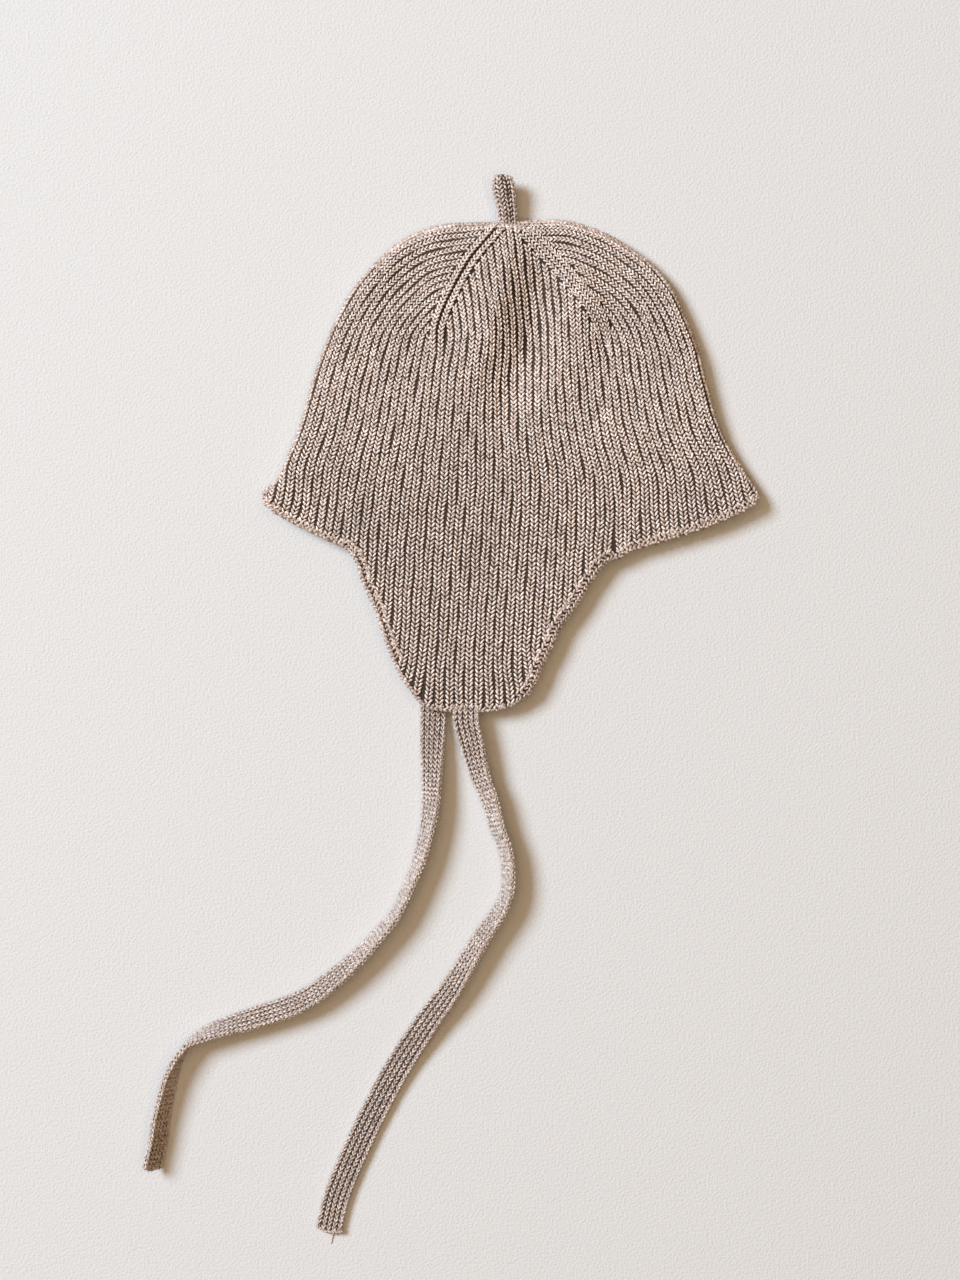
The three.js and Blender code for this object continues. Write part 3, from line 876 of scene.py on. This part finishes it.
def drawn_in(line, amount):
    """A line moved to its left, except at its ends, where it meets the folds."""
    s = lengths(line)
    share = np.clip(np.minimum(s, s[-1] - s) / CORNER_REACH, 0, 1)
    return offset(line, (amount * share)[:, None])


core_mouth = drawn_in(mouth, CORE_INSET)


def skin(columns, rows, depth):
    """Front and back faces sunk into the knit by depth; they meet on the fold line."""
    column, row = np.meshgrid(np.arange(columns + 1), np.arange(rows + 1))
    u = (0.5 - 0.5 * np.cos(np.pi * column / columns)).ravel()
    v = np.sin(np.pi / 2 * row / rows).ravel()
    xy = coons(u, v, (left_fold, right_fold, core_mouth, top_fold))
    faces = []
    for front in (True, False):
        place, normal = knit_face(xy, front)
        faces.append(place - normal * depth)
    on_fold = ((column == 0) | (column == columns) | (row == rows)).ravel()
    joined = (faces[0] + faces[1]) / 2
    faces[0][on_fold] = joined[on_fold]
    return faces[0], faces[1], on_fold


def shell(name, columns, rows, outer_depth, inner_depth, material):
    """A closed wall between two skins, open at the mouth."""
    points, quads = [], []
    index = {}
    base = 0
    for key, depth in (("outer", outer_depth), ("inner", inner_depth)):
        front, back, on_fold = skin(columns, rows, depth)
        ids_front = base + np.arange(len(front))
        free = ~on_fold
        ids_back = ids_front.copy()
        ids_back[free] = base + len(front) + np.arange(free.sum())
        points += [front, back[free]]
        base += len(front) + free.sum()
        index[key] = (ids_front.reshape(rows + 1, columns + 1), ids_back.reshape(rows + 1, columns + 1))
    for key, flips in (("outer", (False, True)), ("inner", (True, False))):
        for grid, flip in zip(index[key], flips):
            corners = [grid[:-1, :-1], grid[:-1, 1:], grid[1:, 1:], grid[1:, :-1]]
            q = np.stack(corners, axis=-1).reshape(-1, 4)
            quads.append(q[:, ::-1] if flip else q)
    outer, inner = (np.concatenate([f[0], b[0][1:-1][::-1]]) for f, b in (index["outer"], index["inner"]))
    quads.append(np.stack([outer, inner, np.roll(inner, -1), np.roll(outer, -1)], axis=-1))
    return mesh_object(name, np.vstack(points), np.vstack(quads), NO_TRIS, material)


core = shell("knit_painted_shade_core", CORE_COLUMNS, CORE_ROWS, CORE_DEPTH, KNIT, groove_shade_wool)
body_parts.append(core)


# -------- ties
TIE_COLUMNS = 5
TIE_MARGIN = 0.7  # part of a tie's width that its columns leave free
TIE_EDGE_INSET = 0.9
TIE_EDGE_WIDTH = 1.8
TIE_CORE_INSET = 0.85  # how deep the ribbon lies under a tie's faces
TIE_GAP = 0.1  # between a tie and the surface under it
# the ribbon's section: share of its half width, share of its half thickness
TIE_SECTION = [(0.8, -1), (-0.8, -1), (-1, 0), (-0.8, 1), (0.8, 1), (1, 0)]

END_STRANDS = 8
END_REACH = 1.3  # how far the cast-off edge runs past the last stitch
END_ROUNDING = 1.2
END_INSET = 1.1
END_LIFT = 0.6
END_JITTER = (0.5, 0.3, 0.15)  # of the strands' directions along and off the tie, and of their places
END_SIZE = (1.2, 0.6, 0.65)

THREAD_BENDS = np.array([0.1, 0.35, 0.1, -0.3, 0.2])  # sideways turns of the loose thread's pieces
THREAD_START = 1.5
THREAD_STEP = 1.1
THREAD_SIDE = 2.4
THREAD_DROP = 1.0
THREAD_FALL = 0.2
THREAD_LEAST = 0.4
THREAD_SIZE = (0.95, 0.28, 0.28)


def tube(name, rings, material):
    """A closed tube through rings of points, the first index being the ring's."""
    count, sides = rings.shape[:2]
    ids = np.arange(count * sides).reshape(count, sides)
    quads = np.stack([ids[:-1], np.roll(ids[:-1], -1, 1), np.roll(ids[1:], -1, 1), ids[1:]], axis=-1)
    caps = [[ids[0, 0], ids[0, s + 1], ids[0, s]] for s in range(1, sides - 1)]
    caps += [[ids[-1, 0], ids[-1, s], ids[-1, s + 1]] for s in range(1, sides - 1)]
    return mesh_object(name, rings.reshape(-1, 3), quads.reshape(-1, 4), np.array(caps), material)


def tie_frames(table, step):
    """Places, directions, width directions and face normals along a tie."""
    rows = np.array(table, float)
    rows[:, :2] += SHIFT
    dense = catmull(rows, TIE_SPAN)
    p = along(dense, np.arange(0, lengths(dense)[-1], step))
    way = directions(np.column_stack([p[:, :2], np.zeros(len(p))]))
    roll = np.radians(p[:, 2])
    wide = np.column_stack([way[:, 1] * np.cos(roll), -way[:, 0] * np.cos(roll), -np.sin(roll)])
    face = np.cross(wide, way)
    lowest = TIE_WIDTH / 2 * np.abs(wide[:, 2]) + TIE_THICK / 2 * np.abs(face[:, 2]) + TIE_GAP
    place = np.column_stack([p[:, :2], np.maximum(lowest, p[:, 3])])
    return place, directions(place), wide, face


def cast_off(knit, place, way, wide, face):
    """The cast-off edge that closes a tie."""
    across = np.linspace(-1, 1, END_STRANDS)[:, None]
    reach = END_REACH - END_ROUNDING * across**2
    middle = place + way * reach + wide * across * (TIE_WIDTH / 2 - END_INSET)
    for side in (1, -1):
        lean = unit(wide + way * rng.normal(0, END_JITTER[0], (END_STRANDS, 1))
                    + face * rng.normal(0, END_JITTER[1], (END_STRANDS, 1)))
        top = middle + face * side * END_LIFT + rng.normal(0, END_JITTER[2], (END_STRANDS, 3))
        knit.strands(top, lean, np.tile(face * side, (END_STRANDS, 1)), *END_SIZE)


def thread_tail(knit, place, way, wide):
    """The end of the yarn, left hanging from a tie's end."""
    step = np.arange(len(THREAD_BENDS))
    line = place + way * (THREAD_START + THREAD_STEP * step)[:, None]
    line = line - wide * THREAD_SIDE - [0, 0, THREAD_DROP]
    line[:, 2] = np.maximum(line[:, 2] - THREAD_FALL * step, THREAD_LEAST)
    bent = unit(way + wide * THREAD_BENDS[:, None])
    knit.strands(line, bent, np.tile([0.0, 0.0, 1.0], (len(step), 1)), *THREAD_SIZE)


def tie(name, table, node, tightness, thread):
    """A flat knitted tie; tightness gives how full its columns are at the start and at the end."""
    place, way, wide, face = tie_frames(table, TIE_COURSE)
    snug = np.linspace(*tightness, len(place))
    core_width = TIE_WIDTH / 2 - TIE_EDGE_INSET
    core_thick = TIE_THICK / 2 - TIE_CORE_INSET
    rings = [place + wide * w * core_width + face * t * core_thick for w, t in TIE_SECTION]
    # the ribbon inside a tie is coloured near black: painted shade that shows between its stitches
    ribbon = tube(name, np.stack(rings, axis=1), groove_shade_wool)

    knit = Yarn()
    pitch = (TIE_WIDTH - TIE_MARGIN) / TIE_COLUMNS
    for side in (1, -1):
        for c in range(TIE_COLUMNS):
            across = (c - (TIE_COLUMNS - 1) / 2) * pitch
            normal = face * side
            column = place + wide * across + normal * (TIE_THICK / 2 - YARN)
            knit.stitches(column, -way, normal, pitch * snug, TIE_COURSE)
        normal = wide * side
        knit.stitches(place + normal * core_width, -way, normal, TIE_EDGE_WIDTH, TIE_COURSE)
    cast_off(knit, place[-1], way[-1], wide[-1], face[-1])
    if thread:
        thread_tail(knit, place[-1], way[-1], wide[-1])
    # a tie's stitches take the dimmed wool, painted shade
    stitches = knit.build(name + "_knit", tie_shade_wool, BACK_SIDES)

    for part in (ribbon, stitches):
        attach(part, "root")
    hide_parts(node)


tie("front_tie_ribbon", FRONT_TIE, "front_tie", (0.92, 0.84), True)
tie("back_tie_ribbon", BACK_TIE, "back_tie", (0.92, 0.88), False)

# -------- stem
STEM_COLUMNS = 8
STEM_COURSE = 1.8
STEM_ENDS = (0.6, 1.6)  # length left free of stitches at the foot and at the tip
STEM_DENT = (0.22, 62, 14)  # depth as a share of the radius, then its angle and width in degrees
STEM_TIPPED = 0.15  # how far the stitches' faces turn towards the tip
STEM_FULLNESS = 0.90
TIP_STRANDS = 7
TIP_BACK = 0.9  # how far the drawn-in strands lie before the stem's end
TIP_SPREAD = [2.0, 0, 1.6]
TIP_WAY = 0.35
TIP_NORMAL = np.array([[0.0, 1.0, 0.3]])
TIP_SIZE = (1.7, 0.6, 0.6)
STEM_CORE_DEPTH = 1.1
STEM_CORE_END = 0.2
STEM_CORE_RINGS = 20
STEM_CORE_SIDES = 16

stem_rows = np.array(STEM, float)
stem_rows[:, :2] += SHIFT
stem_line = catmull(stem_rows, TIE_SPAN)
stem_length = lengths(stem_line)[-1]


def stem_column(knit, number):
    """One column of stitches along the stem."""
    rows = along(stem_line, np.arange(STEM_ENDS[0], stem_length - STEM_ENDS[1], STEM_COURSE))
    half_width, half_height = rows[:, 3], rows[:, 4]
    angle = 2 * math.pi * (number + 0.5) / STEM_COLUMNS
    depth, dent_angle, dent_width = STEM_DENT
    dent = 1 - depth * math.exp(-((math.degrees(angle) - dent_angle) / dent_width) ** 2)
    across, up = math.cos(angle), math.sin(angle)
    flat = np.zeros(len(rows))
    half = np.column_stack([half_width * across, flat, half_height * up])
    normal = np.column_stack([across * half_height, flat + STEM_TIPPED, up * half_width])
    normal /= np.linalg.norm(normal, axis=1, keepdims=True)
    place = rows[:, :3] + half * dent - normal * YARN
    width = 2 * math.pi * (half_width + half_height) / 2 / STEM_COLUMNS
    knit.stitches(place, directions(place), normal, width * STEM_FULLNESS, STEM_COURSE)


def stem_tip(knit):
    """The strands that are drawn together at the stem's end."""
    tip = along(stem_line, np.array([stem_length - TIP_BACK]))
    for turn in np.linspace(0, 2 * math.pi, TIP_STRANDS, endpoint=False):
        out = np.array([[math.cos(turn), TIP_WAY, math.sin(turn)]])
        knit.strands(tip[:, :3] + out * TIP_SPREAD, out, TIP_NORMAL, *TIP_SIZE)


stem_knit = Yarn()
for number in range(STEM_COLUMNS):
    stem_column(stem_knit, number)
stem_tip(stem_knit)
# the stem's stitches take the dimmed wool, painted shade
stem_stitches = stem_knit.build("stem_ribs", tie_shade_wool)

# the stem's core is coloured near black: painted shade that shows between its stitches
core_rows = along(stem_line, np.linspace(STEM_CORE_END, stem_length - STEM_CORE_END, STEM_CORE_RINGS))
core_angles = -2 * math.pi * np.arange(STEM_CORE_SIDES) / STEM_CORE_SIDES
stem_rings = [
    np.column_stack([
        core_rows[:, 0] + (core_rows[:, 3] - STEM_CORE_DEPTH) * math.cos(a),
        core_rows[:, 1],
        core_rows[:, 2] + (core_rows[:, 4] - STEM_CORE_DEPTH) * math.sin(a)])
    for a in core_angles]
stem_painted_shade_core = tube("stem_painted_shade_core", np.stack(stem_rings, axis=1), groove_shade_wool)

for part in body_parts:
    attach(part, "root")
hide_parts("bonnet_body")
for part in (stem_painted_shade_core, stem_stitches):
    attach(part, "root")
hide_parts("crown_stem")


# -------- floor, light, camera
FLOOR_HALF = 2500
FLOOR_COLOUR = (0.572, 0.573, 0.583)
VIEW_MIDDLE = (-0.0128, -0.0823)
VIEW_HEIGHT = 0.5376  # length of the frame's long side on the plane in focus
VIEW_PLANE = 0.005  # height of that plane
LENS = 65.0
SENSOR = 36.0
AMBIENT = (1.0, 0.708, 0.43)  # colour of the light that fills the shadows
AMBIENT_STRENGTH = 0.15
# lights: name, place, point aimed at, size, power, colour
LIGHTS = [
    ("fill", (0, 0, 2.6), (0, 0, 0), 2.8, 38.5, AMBIENT),
    ("key", (-2.80, 1.36, 3.10), (0, -0.05, 0), 1.75, 287, (0.788, 0.898, 1.0)),
]


def floor_material():
    """A pale matt surface with a fine grain."""
    material = bpy.data.materials.new("pale_floor")
    tree, shader = nodes_of(material)
    shader.inputs["Base Color"].default_value = (*FLOOR_COLOUR, 1)
    shader.inputs["Roughness"].default_value = 0.85
    shader.inputs["Specular IOR Level"].default_value = 0.2
    where = add_node(tree, "TexCoord")
    grain = add_node(tree, "TexNoise", Scale=950, Detail=3)
    bump = add_node(tree, "Bump", Strength=0.45, Distance=0.0008)
    tree.links.new(where.outputs["Object"], grain.inputs["Vector"])
    tree.links.new(grain.outputs["Fac"], bump.inputs["Height"])
    tree.links.new(bump.outputs["Normal"], shader.inputs["Normal"])
    return material


floor_corners = [(x * FLOOR_HALF, y * FLOOR_HALF, 0) for x, y in ((-1, -1), (1, -1), (1, 1), (-1, 1))]
floor = mesh_object("floor", floor_corners, [[0, 1, 2, 3]], NO_TRIS, floor_material())

camera_data = bpy.data.cameras.new("camera")
camera_data.lens = LENS
camera_data.sensor_width = SENSOR
camera = bpy.data.objects.new("camera", camera_data)
camera.location = (*VIEW_MIDDLE, VIEW_HEIGHT * LENS / SENSOR + VIEW_PLANE)
bpy.context.scene.collection.objects.link(camera)
bpy.context.scene.camera = camera


def area_light(name, place, aim, size, power, colour):
    data = bpy.data.lights.new(name, "AREA")
    data.shape = "DISK"
    data.size = size
    data.energy = power
    data.color = colour
    light = bpy.data.objects.new(name, data)
    light.location = place
    light.rotation_euler = (Vector(aim) - Vector(place)).to_track_quat("-Z", "Y").to_euler()
    bpy.context.scene.collection.objects.link(light)


for light_row in LIGHTS:
    area_light(*light_row)
world = bpy.data.worlds.new("soft_room")
world.use_nodes = True
background = world.node_tree.nodes["Background"]
background.inputs["Color"].default_value = (*AMBIENT, 1)
background.inputs["Strength"].default_value = AMBIENT_STRENGTH
bpy.context.scene.world = world
bpy.context.scene.view_settings.view_transform = "Standard"
